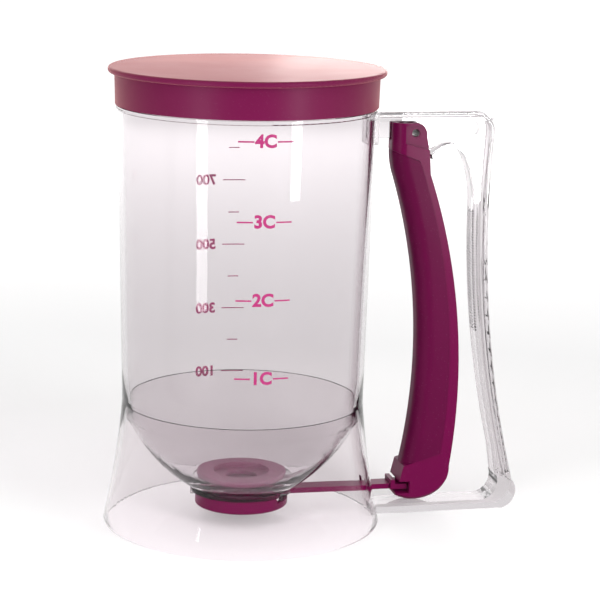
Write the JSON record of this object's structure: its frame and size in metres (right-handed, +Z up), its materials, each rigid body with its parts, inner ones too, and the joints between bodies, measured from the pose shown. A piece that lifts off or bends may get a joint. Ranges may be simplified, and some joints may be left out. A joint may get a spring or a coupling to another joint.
{
  "type": "pancake batter dispenser",
  "caption": "Clear jug with a funnel floor, lift-off lid and loop handle; squeezing the lever in the handle slides the valve gate open to pour measured batter.",
  "frame": {"origin": "on the jug's axis, at the surface the skirt stands on", "axes": "+Z up along the jug's axis, +X from the jug towards the handle, +Y across it"},
  "size_m": [0.1752, 0.1146, 0.188],
  "materials": {
    "clear_plastic": "clear, glossy",
    "plum_plastic": "glossy",
    "plum_grip": "satin, slightly soft",
    "mauve_seal": "satin",
    "spring_steel": "drawn wire"
  },
  "bodies": {
    "jug": {"container": "clear_plastic", "base_skirt": "clear_plastic", "handle_loop": "clear_plastic", "seat_ring": "mauve_seal"},
    "lid": {"lid_cap": "plum_plastic"},
    "trigger": {"trigger_lever": "plum_plastic", "trigger_grip": "plum_grip", "pivot_pin": "plum_plastic", "return_spring": "spring_steel"},
    "gate": {"gate_slide": "plum_plastic", "gate_pad": "mauve_seal"},
    "cap": {"valve_cap": "plum_plastic"}
  },
  "joints": [
    {"name": "lid_lift", "type": "slide", "parent": "jug", "child": "lid", "axis": [0, 0, 1], "range_m": [0, 0.04]},
    {"name": "trigger_squeeze", "type": "hinge", "parent": "jug", "child": "trigger", "pos_m": [0.0689, 0, 0.1615], "axis": [0, -1, 0], "range_deg": [0, 5.4], "stiffness_Nm_per_rad": 1.5, "springref_deg": -8.59, "deforming": ["return_spring"]},
    {"name": "gate_travel", "type": "slide", "parent": "jug", "child": "gate", "axis": [1, 0, 0], "range_m": [0, 0.01414]},
    {"name": "cap_twist", "type": "hinge", "parent": "jug", "child": "cap", "pos_m": [0, 0, 0.0097], "axis": [0, 0, 1], "range_deg": [0, 25]}
  ],
  "couplings": [
    {"joint": "gate_travel", "follows": "trigger_squeeze", "m_per_rad": 0.15}
  ]
}
